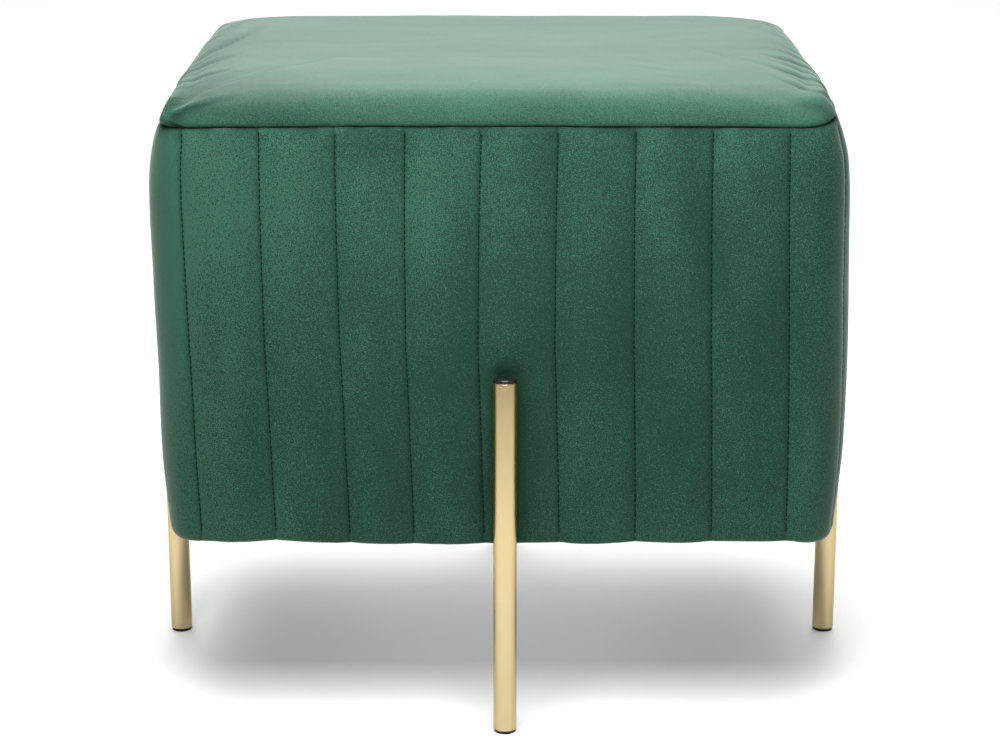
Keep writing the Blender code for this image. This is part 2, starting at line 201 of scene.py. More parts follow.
GATHER_SHARE = 0.3  # broad gathers lie under the sharp creases, so they are shallower here
FADES_FROM = 0.35  # share of its reach from which a gather or crease fades
CREASES_BEND_FROM = 10  # mm in from the cube's face
CREASE_RIDGE = (0.45, 1.9, 1.2)  # ridge beside a crease: share of its depth, place and half width
FOLD_HOLLOW = (0.7, -2.0, 1.3)  # hollow in front of a fold, likewise, both in half widths of their own
CREASES = (
    # side, y_mm at the seam, bend backwards (per mm), reach_mm, depth_mm, half_width_mm
    (-1, 139.0, 0.030, 34.0, 1.0, 2.6),
    (-1, 112.0, 0.040, 46.0, 1.3, 3.0),
    (-1, 84.0, 0.050, 38.0, 1.0, 2.4),
    (-1, 40.0, 0.060, 44.0, 1.2, 2.8),
    (-1, 2.0, 0.085, 34.0, 1.5, 2.6),
    (-1, -25.0, 0.060, 26.0, 0.9, 2.0),
    (-1, -50.0, 0.050, 56.0, 1.7, 3.2),
    (-1, -70.0, 0.030, 30.0, 0.9, 2.0),
    (-1, -84.0, 0.024, 44.0, 1.5, 2.6),
    (-1, -98.0, 0.016, 30.0, 0.8, 1.8),
    (-1, -114.0, 0.012, 40.0, 1.3, 2.8),
    (-1, -132.0, 0.016, 26.0, 0.9, 2.2),
    (1, 141.0, 0.030, 36.0, 1.0, 2.4),
    (1, 108.0, 0.036, 42.0, 1.2, 3.0),
    (1, 71.0, 0.050, 38.0, 1.1, 2.8),
    (1, 38.0, 0.040, 30.0, 0.9, 2.2),
    (1, 6.0, 0.050, 36.0, 1.0, 2.6),
    (1, -28.0, 0.030, 32.0, 0.9, 2.2),
    (1, -48.0, 0.020, 36.0, 1.1, 2.4),
    (1, -71.0, 0.014, 42.0, 1.6, 2.8),
    (1, -90.0, 0.018, 34.0, 1.1, 2.2),
    (1, -111.0, 0.020, 44.0, 1.7, 2.8),
    (1, -127.0, 0.024, 28.0, 1.2, 2.0),
    (1, -143.0, 0.024, 40.0, 1.5, 2.6),
)
FOLDS = (
    # half_width_mm, then points of the fold as x_mm, y_mm, height_mm, from the seam's corner inwards
    (2.0, ((-209.0, -162.5, 1.0), (-202.0, -158.5, 1.4), (-196.0, -155.0, 1.3), (-187.0, -152.5, 1.0),
           (-175.0, -148.5, 0.5), (-158.0, -144.0, 0.0))),
    (3.0, ((209.0, -147.0, 0.4), (200.0, -149.0, 0.6), (191.0, -150.0, 0.4), (180.0, -148.0, 0.0))),
)

STRAIGHT_X = CUBE_HALF_WIDTH - CUBE_CORNER_RADIUS
STRAIGHT_Y = CUBE_HALF_DEPTH - CUBE_CORNER_RADIUS
QUARTER_TURN = CUBE_CORNER_RADIUS * math.pi / 2
PERIMETER = 4 * (STRAIGHT_X + STRAIGHT_Y + QUARTER_TURN)
STRETCHES = (
    # kind, length, centre or middle as signs of (x, y), direction of the outward normal at its start
    ("straight", 2 * STRAIGHT_X, (0, -1), -90),
    ("corner", QUARTER_TURN, (1, -1), -90),
    ("straight", 2 * STRAIGHT_Y, (1, 0), 0),
    ("corner", QUARTER_TURN, (1, 1), 0),
    ("straight", 2 * STRAIGHT_X, (0, 1), 90),
    ("corner", QUARTER_TURN, (-1, 1), 90),
    ("straight", 2 * STRAIGHT_Y, (-1, 0), 180),
    ("corner", QUARTER_TURN, (-1, -1), 180),
)


# -------- the cube's outline from above

def smooth_step(low, high, value):
    """Return 0 below low, 1 above high and a soft curve between."""
    share = np.clip((value - low) / (high - low), 0, 1)
    return share * share * (3 - 2 * share)


def band_radii(inset):
    """Corner radii of the side band, which shrink with the inset."""
    return dict.fromkeys(TOP_CORNERS, np.maximum(SMALLEST_CORNER, CUBE_CORNER_RADIUS - inset))


def top_radii(inset, height):
    """Corner radii of the top panel: pinched at the left front, rounder at the back."""
    seam_inset = TOP_SECTIONS[0][1] * MM
    at_seam = CUBE_CORNER_RADIUS - seam_inset
    largest = LARGEST_CORNER * (CUBE_HALF_DEPTH - inset)
    radii = {corner: np.clip(at_seam + gained * (inset - seam_inset), SMALLEST_CORNER, largest)
             for corner, gained in TOP_CORNERS.items()}
    pinched = at_seam + (SMALLEST_CORNER - at_seam) * smooth_step(0, PINCHED_WITHIN, height - TOP_FLOOR)
    radii[PINCHED_CORNER] = np.minimum(radii[PINCHED_CORNER], pinched)
    return radii


def outline(distance, inset, radii):
    """Return x, y and the outward normal of an inset outline at distances round the cube."""
    left = (distance + STRAIGHT_X) % PERIMETER
    half_x, half_y = CUBE_HALF_WIDTH - inset, CUBE_HALF_DEPTH - inset
    x, y, normal_x, normal_y = (np.zeros(left.shape) for _ in range(4))
    start = 0.0
    for kind, length, (sign_x, sign_y), degrees in STRETCHES:
        on = (left >= start) & (left <= start + length)
        share = np.clip((left - start) / length, 0, 1)
        if kind == "corner":
            radius = radii[sign_x, sign_y]
            angle = math.radians(degrees) + share * math.pi / 2
            out_x, out_y = np.cos(angle), np.sin(angle)
            at_x = sign_x * (half_x - radius) + radius * out_x
            at_y = sign_y * (half_y - radius) + radius * out_y
        else:
            out_x = np.full(left.shape, float(sign_x))
            out_y = np.full(left.shape, float(sign_y))
            first, last = (sign_x + sign_y, sign_y - sign_x), (sign_x - sign_y, sign_y + sign_x)
            ends = [(corner[0] * (half_x - radii[corner] * abs(sign_y)),
                     corner[1] * (half_y - radii[corner] * abs(sign_x))) for corner in (first, last)]
            at_x = ends[0][0] + (ends[1][0] - ends[0][0]) * share
            at_y = ends[0][1] + (ends[1][1] - ends[0][1]) * share
        for kept, found in ((x, at_x), (y, at_y), (normal_x, out_x), (normal_y, out_y)):
            kept[on] = found[on]
        start += length
    return x, y, normal_x, normal_y


def bow(x, y, normal_x, normal_y, height, inset):
    """How far a face stands out beyond its corners, which dies away on the seat."""
    change = smooth_step(BOW_CHANGES_FROM, BOW_CHANGES_TO, height)
    side = SIDE_BOW_LOW + (SIDE_BOW_HIGH - SIDE_BOW_LOW) * change
    front = FRONT_BOW_LOW + (FRONT_BOW_HIGH - FRONT_BOW_LOW) * change
    side_share = np.maximum(0, 1 - (y / CUBE_HALF_DEPTH) ** 2) * normal_x ** 2
    front_share = np.maximum(0, 1 - (x / CUBE_HALF_WIDTH) ** 2) * normal_y ** 2
    return (side * side_share + front * front_share) * (1 - smooth_step(0, ROLL_ENDS, inset))


def sideways(x, y, height):
    """How far the padding leans and splays to the side."""
    leaning = LEAN * smooth_step(LEAN_FROM, LEAN_TO, height)
    backward = (y / CUBE_HALF_DEPTH + 1) / 2
    splaying = SPLAY * x / CUBE_HALF_WIDTH * backward
    return leaning + splaying * smooth_step(BOW_CHANGES_FROM, BOW_CHANGES_TO, height)


def seam_rise(distance):
    """How much higher the top seam runs at distances round the cube than at the front."""
    past_corner = (distance + STRAIGHT_X) % (PERIMETER / 2) - 2 * STRAIGHT_X
    to_corner = 2 * (STRAIGHT_Y + QUARTER_TURN) - past_corner
    on_left = (distance + STRAIGHT_X) % PERIMETER > PERIMETER / 2
    to_corner = to_corner - LEFT_SEAM_RISES_FROM * on_left
    return SIDE_SEAM_RISE * smooth_step(0, SEAM_RISES_WITHIN, np.minimum(past_corner, to_corner))


def drawn_in(distance, z):
    """How far the raised seam pulls the sides in, at heights above the floor."""
    near_seam = smooth_step(*DRAWN_IN_WITHIN, z) * (1 - smooth_step(*LET_OUT_WITHIN, z))
    return SIDE_DRAWN_IN * seam_rise(distance) / SIDE_SEAM_RISE * near_seam


def seam_distance(seam, height):
    """Distance round the cube of the sewn seams, at heights. Seams count round from the left."""
    lap, seam = divmod(seam, CHANNEL_COUNT)
    last = np.interp(height, SEAM_TABLE_HEIGHTS, FRONT_SEAMS[-1]) * MM
    first = np.interp(height, SEAM_TABLE_HEIGHTS, FRONT_SEAMS[0]) * MM + PERIMETER
    if seam < len(FRONT_SEAMS):
        return lap * PERIMETER + np.interp(height, SEAM_TABLE_HEIGHTS, FRONT_SEAMS[seam]) * MM
    share = (seam - len(FRONT_SEAMS) + 1) / (CHANNEL_COUNT - len(FRONT_SEAMS) + 1)
    return lap * PERIMETER + last + (first - last) * share


def channel_relief(share, height):
    """Depth of the cloth below a channel's crest, at shares of the channel's width."""
    across = np.abs(2 * share - 1)
    fullness = 1 - CREST * across ** CREST_POWER - LIPS * across ** LIPS_POWER
    run_out = np.minimum(smooth_step(0, SEAM_RUN_OUT, BAND_TOP - height),
                         smooth_step(0, SEAM_RUN_OUT, height - BAND_FOOT))
    depth = SEAM_DEPTH * (SEAM_DEPTH_AT_ENDS + (1 - SEAM_DEPTH_AT_ENDS) * run_out)
    return depth * (1 - fullness)


def leg_places():
    """Name, centre and outward direction of each leg."""
    reach_x = STOOL_WIDTH / 2 - TUBE_RADIUS
    reach_y = STOOL_DEPTH / 2 - TUBE_RADIUS
    return (
        ("front", (FRONT_LEG_ASIDE, -reach_y), (0, -1)),
        ("right", (reach_x, 0.0), (1, 0)),
        ("back", (0.0, reach_y), (0, 1)),
        ("left", (-reach_x, 0.0), (-1, 0)),
    )


def pressed_back(x, y, normal_x, normal_y, height):
    """How far the cloth is pushed back by a leg that leans on it."""
    back = np.zeros(np.shape(x))
    top = TUBE_TOP + PRESSED_ABOVE_TUBE
    above = 1 - smooth_step(top, top + PRESSED_FADE_UPWARDS, height)
    for _, (leg_x, leg_y), (out_x, out_y) in leg_places():
        facing = normal_x * out_x + normal_y * out_y > FACES_LEG
        face = x * out_x + y * out_y
        seat = leg_x * out_x + leg_y * out_y - TUBE_RADIUS - CLEAR
        aside = np.abs((x - leg_x) * out_y - (y - leg_y) * out_x)
        beside = 1 - smooth_step(PRESSED_HALF_WIDTH, PRESSED_HALF_WIDTH + PRESSED_FADE_ASIDE, aside)
        back += np.where(facing, np.maximum(0, face - seat) * beside * above, 0)
    return back


def painted_shade_by_legs(x, y, height):
    """How much shade is painted beside the legs and in the dent above each, from 0 to 1."""
    shade = np.zeros(np.shape(x))
    for _, (leg_x, leg_y), _ in leg_places():
        aside = np.hypot(x - leg_x, y - leg_y) - TUBE_RADIUS
        above = np.maximum(0, height - TUBE_TOP)
        for dark, half_width, middle, half_height in LEG_SHADES:
            shade += dark * np.exp(-(aside / half_width) ** 2 - ((above - middle) / half_height) ** 2)
    return shade


# -------- soft unevenness

RIPPLES = {
    # about how wide the bumps are, seed, and how the points are scaled along x, y and z
    "band swell": (70 * MM, 1, (1, 1, 1)),
    "band waves": (22 * MM, 2, (1, 1, 1)),
    "puckers": (8 * MM, 3, (1, 1, 1.6)),
    "tucks": (9 * MM, 4, (1.3, 1.3, 0.5)),
    "top swell": (80 * MM, 5, (1, 1, 1)),
    "top waves": (24 * MM, 6, (1, 1, 1)),
    "hem": (40 * MM, 7, (1, 1, 0)),
    "seam": (26 * MM, 8, (1, 1, 1)),
}
SEED_SHIFT = (17.3, 5.1, 9.7)  # how far one seed's pattern lies from the next, in bumps
SEAM_WANDER = 0.4 * MM


def ripples(points, kind):
    """Soft random values from -1 to 1 at points."""
    size, seed, scale = RIPPLES[kind]
    shift = Vector([seed * part for part in SEED_SHIFT])
    flat = np.reshape(points * np.array(scale), (-1, 3))
    values = [noise.noise(Vector(point) / size + shift) for point in flat]
    return np.reshape(np.array(values), np.shape(points)[:-1])


def wander(distance):
    """How far the top seam strays up and down, at distances round the cube."""
    turn = 2 * math.pi * distance / PERIMETER
    places = np.stack((np.cos(turn), np.sin(turn), np.zeros(np.shape(turn))), axis=-1)
    return SEAM_WANDER * ripples(places * PERIMETER / (2 * math.pi), "seam")


# -------- mesh helpers

CURVE_STEPS = 24  # points of the curve between two sections
WELDED_WITHIN = 0.002 * MM  # cloth's vertices closer than this are one
JOINED_WITHIN = 0.01 * MM  # the same for turned pieces


def profile_rows(sections, count, crowding):
    """Resample a table of sections to a number of rows on a smooth curve, crowded at its ends."""
    table = np.array(sections) * MM
    padded = np.vstack((2 * table[0] - table[1], table, 2 * table[-1] - table[-2]))
    fine = []
    for before, start, end, after in zip(padded, padded[1:], padded[2:], padded[3:]):
        for step in np.linspace(0, 1, CURVE_STEPS, endpoint=False):
            fine.append(0.5 * (2 * start + (end - before) * step
                               + (2 * before - 5 * start + 4 * end - after) * step ** 2
                               + (3 * start - before - 3 * end + after) * step ** 3))
    fine = np.array(fine + [table[-1]])
    run = np.concatenate(((0,), np.cumsum(np.linalg.norm(np.diff(fine, axis=0), axis=1))))
    share = np.linspace(0, 1, count)
    share = share - crowding * np.sin(2 * math.pi * share) / (2 * math.pi)
    return np.stack([np.interp(share * run[-1], run, column) for column in fine.T], axis=1)


def nothing_selected():
    """Deselect everything, because an operator acts on all that is selected."""
    if bpy.context.mode != "OBJECT":
        bpy.ops.object.mode_set(mode="OBJECT")
    bpy.ops.object.select_all(action="DESELECT")


def tube_of_cloth(name, grid, values, kept_as):
    """A tube of cloth through a grid of points, joined where it meets itself, with one value a point."""
    grid = np.concatenate((grid, grid[:, :1]), axis=1)
    values = np.concatenate((values, values[:, :1]), axis=1)
    rows, columns = grid.shape[:2]
    nothing_selected()
    bpy.ops.mesh.primitive_grid_add(x_subdivisions=columns - 1, y_subdivisions=rows - 1, size=1)
    cloth = bpy.context.object
    cloth.name = cloth.data.name = name
    points = vertex_points(cloth)
    column = np.round((points[:, 0] + 0.5) * (columns - 1)).astype(int)
    row = np.round((points[:, 1] + 0.5) * (rows - 1)).astype(int)
    cloth.data.vertices.foreach_set("co", grid[row, column].ravel())
    cloth.data.attributes.new(kept_as, "FLOAT", "POINT").data.foreach_set("value", values[row, column])
    bpy.ops.object.mode_set(mode="EDIT")
    bpy.ops.mesh.select_all(action="SELECT")
    bpy.ops.mesh.remove_doubles(threshold=WELDED_WITHIN)
    bpy.ops.mesh.normals_make_consistent(inside=False)
    bpy.ops.object.mode_set(mode="OBJECT")
    return cloth


def vertex_points(piece):
    """The places of a mesh's vertices."""
    points = np.zeros(len(piece.data.vertices) * 3)
    piece.data.vertices.foreach_get("co", points)
    return points.reshape(-1, 3)


def wrapped_cloth(name, grid, floor_centre, roof_centre, painted_shade):
    """Wrap a grid of cloth round the cube and close it at the middle of its floor and roof.

    grid holds points by row, from the floor up, and by column, once round the cube. The last argument holds
    how much shade is painted into the finish at each of them: in seams, creases and other places where shade
    falls.
    """
    ends = [np.broadcast_to(centre, grid[:1].shape) for centre in (floor_centre, roof_centre)]
    grid = np.concatenate((ends[0], grid, ends[1]))
    painted_shade = np.pad(np.clip(painted_shade, 0, 1), ((1, 1), (0, 0)))
    cloth = tube_of_cloth(name, grid, painted_shade, "painted_shade")
    bpy.ops.object.shade_smooth()
    return cloth


# -------- the filling presses the cloth out

SETTLED_COLUMNS = (0, 4, 6, 8, 10, 13)  # which of a channel's columns are simulated
SETTLING_FRAMES = 20
FILLING_PRESSURE = 4.0
FILLED_CLOTH = {
    "quality": 6, "mass": 0.3, "tension_stiffness": 15, "compression_stiffness": 15, "shear_stiffness": 5,
    "bending_stiffness": 0.5, "use_pressure": True,
}
LARGEST_MOVE = 3 * MM
LARGEST_MOVE_ON_TOP = 1.2 * MM


def settled(grid, held, row_step, columns, largest_move):
    """How far each point of a padded cloth moves as its filling presses it out between its seams.

    A coarse copy of the cloth, of every few rows and of some of its columns, is simulated. It is held
    where held is true, and its moves, scaled down to the largest one, are carried over to the whole grid.
    """
    rows = np.arange(0, len(grid), row_step)
    coarse = grid[np.ix_(rows, columns)]
    places = np.arange(coarse.shape[0] * coarse.shape[1], dtype=float).reshape(coarse.shape[:2])
    copy = tube_of_cloth("settling_copy", coarse, places, "place")
    place = np.zeros(len(copy.data.vertices))
    copy.data.attributes["place"].data.foreach_get("value", place)
    place = np.round(place).astype(int)
    press_out(copy, held[np.ix_(rows, columns)].ravel()[place])
    moves = np.zeros((places.size, 3))
    moves[place] = vertex_points(copy) - coarse.reshape(-1, 3)[place]
    bpy.data.objects.remove(copy, do_unlink=True)
    furthest = np.linalg.norm(moves, axis=1).max()
    moves = moves.reshape(coarse.shape) * min(1, largest_move / furthest)
    wide = np.zeros((len(rows),) + grid.shape[1:])
    whole = np.zeros(grid.shape)
    all_rows, all_columns = (np.arange(count) for count in grid.shape[:2])
    for axis in range(3):
        for row in range(len(rows)):
            wide[row, :, axis] = np.interp(all_columns, columns, moves[row, :, axis], period=grid.shape[1])
        for column in all_columns:
            whole[:, column, axis] = np.interp(all_rows, rows, wide[:, column, axis])
    return whole


def press_out(copy, sewn):
    """Simulate a coarse cloth full of filling, held where it is sewn, and leave it as it settles."""
    group = copy.vertex_groups.new(name="sewn")
    group.add(np.flatnonzero(sewn).tolist(), 1.0, "REPLACE")
    cloth = copy.modifiers.new("filling", "CLOTH")
    for setting, value in FILLED_CLOTH.items():
        setattr(cloth.settings, setting, value)
    outward = sum(vertex.normal.x * vertex.co.x + vertex.normal.y * vertex.co.y
                  for vertex in copy.data.vertices)
    cloth.settings.uniform_pressure_force = math.copysign(FILLING_PRESSURE, outward)
    cloth.settings.vertex_group_mass = group.name
    cloth.settings.effector_weights.gravity = 0
    cloth.collision_settings.use_collision = False
    cloth.point_cache.frame_start = 1
    cloth.point_cache.frame_end = SETTLING_FRAMES
    for frame_number in range(1, SETTLING_FRAMES + 1):
        bpy.context.scene.frame_set(frame_number)
    bpy.ops.object.modifier_apply(modifier=cloth.name)
    bpy.context.scene.frame_set(1)


# -------- channelled band

BAND_CROWDING = 0.35  # how much closer the rows are at the band's edges
BAND_ROW_STEP = 4  # rows between those of the simulated copy
CHANNELS_FADE = (12 * MM, 30 * MM)  # insets, as in the next two
HEM_FADES = (20 * MM, 34 * MM)
RELIEF_FADES = (11 * MM, 16 * MM)
HELD_EDGE, HELD_INSET = 2 * MM, 12 * MM
CHANNEL_WIDTH = 47 * MM  # on average
BAND_SWELL, BAND_WAVES = 0.5 * MM, 0.22 * MM
PUCKERS, PUCKERS_WITHIN = 0.28, 5 * MM  # depth in mm, distance from a channel seam
TUCKS_TOP, TUCKS_TOP_WITHIN = 0.75, 9 * MM
TUCKS_FOOT, TUCKS_FOOT_WITHIN = 0.5, 8 * MM
HEM_HANGS, HEM_UNEVEN, HEM_CORNERS = 0.6, 1.3, 3.0  # mm
HEM_HEIGHT = 22 * MM
WANDERS_FROM = 372 * MM
SEAM_DARK, SEAM_DARKER_LEFT = 0.15, 0.3  # painted shade in a channel seam's groove, and how much more is painted left of it
SEAM_DARK_WIDTH = 0.8  # mm, and 1 mm more left of it
FRINGE, FRINGE_TUCKS, FRINGE_HEIGHT = 0.4, 0.8, 2.5 * MM  # painted shade under the top seam
LEDGE, LEDGE_HEIGHTS = 0.3, (-0.9 * MM, -0.3 * MM)  # and painted shade in it
SHADED, SHADED_FROM = 0.2, 0.3  # painted shade at the right of each channel, as from light on the left, from this share of its width


def band_cloth(distance, share, height, inset):
    """Points of the side band's cloth, with its channels."""
    x, y, normal_x, normal_y = outline(distance, inset, band_radii(inset))
    fade = 1 - smooth_step(*CHANNELS_FADE, inset)
    z = height + seam_rise(distance) * smooth_step(BAND_RISES_FROM, BAND_TOP, height)
    out = bow(x, y, normal_x, normal_y, height, inset) - channel_relief(share, height) * fade
    out = out - drawn_in(distance, z)
    return x + normal_x * out + sideways(x, y, height), y + normal_y * out, z, normal_x, normal_y


def channelled_band():
    """The side band: one strip of velvet with sewn upright channels, padded and drawn in at the top."""
    heights, insets = profile_rows(BAND_SECTIONS, BAND_ROWS, BAND_CROWDING).T
    per_channel = len(CHANNEL_COLUMNS)
    distance = np.zeros((BAND_ROWS, CHANNEL_COUNT * per_channel))
    for channel in range(CHANNEL_COUNT):
        start = seam_distance(channel, heights)[:, None]
        end = seam_distance(channel + 1, heights)[:, None]
        part = slice(channel * per_channel, (channel + 1) * per_channel)
        distance[:, part] = start + (end - start) * np.array(CHANNEL_COLUMNS)
    share = np.tile(np.array(CHANNEL_COLUMNS), CHANNEL_COUNT)[None, :]
    height = np.broadcast_to(heights[:, None], distance.shape)
    inset = np.broadcast_to(insets[:, None], distance.shape)
    x, y, z, normal_x, normal_y = band_cloth(distance, share, height, inset)
    points = np.stack((x, y, z), axis=-1)
    below_top = np.maximum(0, BAND_TOP - height)
    above_foot = np.maximum(0, height - BAND_FOOT)
    held = (share == 0) | (below_top < HELD_EDGE) | (above_foot < HELD_EDGE) | (inset > HELD_INSET)
    sampled = np.arange(CHANNEL_COUNT * per_channel)
    sampled = sampled[np.isin(sampled % per_channel, SETTLED_COLUMNS)]
    points = points + settled(points, held, BAND_ROW_STEP, sampled, LARGEST_MOVE)
    x, y, z = np.moveaxis(points, -1, 0)
    to_seam = np.minimum(share, 1 - share) * CHANNEL_WIDTH
    tucks = ripples(points, "tucks")
    relief = BAND_SWELL * ripples(points, "band swell") + BAND_WAVES * ripples(points, "band waves")
    relief = relief + ripples(points, "puckers") * np.exp(-(to_seam / PUCKERS_WITHIN) ** 2) * PUCKERS * MM
    at_edges = np.exp(-below_top / TUCKS_TOP_WITHIN) * TUCKS_TOP
    at_edges = at_edges + np.exp(-above_foot / TUCKS_FOOT_WITHIN) * TUCKS_FOOT
    relief = (relief + tucks * at_edges * MM) * (1 - smooth_step(*RELIEF_FADES, inset))
    x, y = x + normal_x * relief, y + normal_y * relief
    hang = HEM_HANGS * np.sin(math.pi * share) + HEM_UNEVEN * ripples(points, "hem")
    hang = hang + HEM_CORNERS * np.abs(normal_x * normal_y)
    at_foot = 1 - smooth_step(0, HEM_HEIGHT, height - BAND_FOOT)
    z = z - hang * MM * at_foot * (1 - smooth_step(*HEM_FADES, inset))
    z = z + wander(distance) * smooth_step(WANDERS_FROM, BAND_TOP, height)
    back = pressed_back(x, y, normal_x, normal_y, height)
    grid = np.stack((x - normal_x * back, y - normal_y * back, z), axis=-1)
    # painted shade: in the channel seams, under and in the top seam, on the right of each channel and beside
    # the legs
    left = share > 0.5
    reach = (SEAM_DARK_WIDTH + left) * MM
    painted_shade = (SEAM_DARK + SEAM_DARKER_LEFT * left) * np.exp(-(to_seam / reach) ** 2)
    painted_shade = painted_shade + np.exp(-below_top / FRINGE_HEIGHT) * (FRINGE + FRINGE_TUCKS * tucks)
    painted_shade = painted_shade + LEDGE * smooth_step(*LEDGE_HEIGHTS, height - BAND_TOP)
    painted_shade = painted_shade + SHADED * smooth_step(SHADED_FROM, 1, share) + painted_shade_by_legs(x, y, height)
    band = wrapped_cloth("channelled_band", grid, (0, 0, heights[0]), (0, 0, BAND_CENTRE_HEIGHT), painted_shade)
    stitched = (heights > BAND_FOOT + STITCHED_ABOVE_FOOT) & (insets < STITCHED_INSET)
    return band, grid[stitched, ::per_channel]


# -------- plain top

TOP_SPACING = (
    # length of each stretch of the outline, from the middle of the front, and how many columns it has
    (STRAIGHT_X, 66), (QUARTER_TURN, 30), (STRAIGHT_Y * 2, 250), (QUARTER_TURN, 30), (STRAIGHT_X * 2, 132),
    (QUARTER_TURN, 30), (STRAIGHT_Y * 2, 250), (QUARTER_TURN, 30), (STRAIGHT_X, 66),
)
TOP_ROW_STEP, TOP_COLUMN_STEP = 2, 4  # how coarse the simulated copy is
SEAT_FROM, SEAT_FRONT = (12 * MM, 26 * MM), (-20 * MM, 60 * MM)  # insets, and y of its front part's end
TOP_SWELL, TOP_WAVES = 0.45 * MM, 0.2 * MM
SWELLS_FROM = (9.5 * MM, 12 * MM)  # insets
CREASED_FROM = 3 * MM  # height above the seam where the creases are whole
FULLER_BACK = 3 * MM  # how far the roll swells out sideways at its back corners
FULLER_WITHIN = 12 * MM
HELD_LIP, HELD_SEAT = 1.5 * MM, 110 * MM
WANDERS_UPWARDS = 10 * MM
LIP_DARK, LIP_HEIGHT = 0.5, 0.9 * MM  # painted shade at the seam, in creases, in the hollows before folds, in the pinched corner
CREASE_DARK = 0.4
HOLLOW_DARK, HOLLOW_DEPTH = 0.4, 0.5 * MM
PINCH_DARK, PINCH_FROM = 0.8, 2 * MM


def gather_depth(x, y, normal_x, inset):
    """How deep the troughs of the gathers are on the top."""
    depth = np.zeros(np.shape(x))
    for side, middle_mm, reach_mm, depth_mm, half_width_mm in GATHERS:
        across = (y - middle_mm * MM) / (half_width_mm * MM)
        fade = 1 - smooth_step(FADES_FROM * reach_mm * MM, reach_mm * MM, inset)
        depth += np.where(side * x > 0, depth_mm * MM * np.exp(-across * across) * fade, 0)
    return depth * normal_x ** 2 * GATHER_SHARE


def with_opposite(aside, opposite):
    """Cross-section of a crease or fold with the smaller opposite shape beside it, in half widths."""
    share, place, half_width = opposite
    return np.exp(-aside ** 2) - share * np.exp(-((aside - place) / half_width) ** 2)


def crease_depth(x, y):
    """Depth of the sharp creases that run in from the side seams and bend backwards over the roll."""
    depth = np.zeros(np.shape(x))
    inwards = np.maximum(0, (CUBE_HALF_WIDTH - np.abs(x)) / MM - CREASES_BEND_FROM)
    for side, start_mm, bend, reach_mm, depth_mm, half_width_mm in CREASES:
        slope = 2 * bend * inwards
        aside = (y / MM - start_mm - bend * inwards ** 2) / np.sqrt(1 + slope ** 2) / half_width_mm
        shape = with_opposite(aside, CREASE_RIDGE)
        fade = 1 - smooth_step(FADES_FROM * reach_mm, reach_mm, inwards)
        depth += np.where(side * x > 0, depth_mm * MM * shape * fade, 0)
    return depth


def fold_height(x, y):
    """Height of the pinched folds that run in from the front corners, with a hollow in front of each."""
    height = np.zeros(np.shape(x))
    for half_width_mm, points in FOLDS:
        nearest = np.full(np.shape(x), np.inf)
        aside, crest = np.zeros(np.shape(x)), np.zeros(np.shape(x))
        for (x1, y1, crest1), (x2, y2, crest2) in zip(points, points[1:]):
            run_x, run_y = (x2 - x1) * MM, (y2 - y1) * MM
            from_x, from_y = x - x1 * MM, y - y1 * MM
            length = math.hypot(run_x, run_y)
            share = np.clip((from_x * run_x + from_y * run_y) / length ** 2, 0, 1)
            away = np.hypot(from_x - share * run_x, from_y - share * run_y)
            towards_seat = np.sign(x2 - x1) * (run_x * from_y - run_y * from_x)
            closer = away < nearest
            nearest = np.where(closer, away, nearest)
            aside = np.where(closer, away * np.sign(towards_seat) / (half_width_mm * MM), aside)
            crest = np.where(closer, (crest1 + (crest2 - crest1) * share) * MM, crest)
        height += crest * with_opposite(aside, FOLD_HOLLOW)
    return height


def seat_height(x, y, rows):
    """Height of the seat at a point: the drops of the rolls on all four sides, added together."""
    from_side = CUBE_HALF_WIDTH - np.abs(x)
    from_front = CUBE_HALF_DEPTH + y
    from_back = CUBE_HALF_DEPTH - y
    height = TOP_CENTRE_HEIGHT
    rise = np.array(FRONT_RISE) * MM
    flat = rise[:0]
    for away, column, further in ((from_side, 0, flat), (from_back, 0, flat), (from_front, 2, rise)):
        start = int(np.argmin(rows[:, column + 1]))
        insets = np.concatenate((rows[start:, column + 1], further[:, 0]))
        heights = np.concatenate((rows[start:, column], further[:, 1]))
        height = height - (TOP_CENTRE_HEIGHT - np.interp(away, insets, heights))
    return height


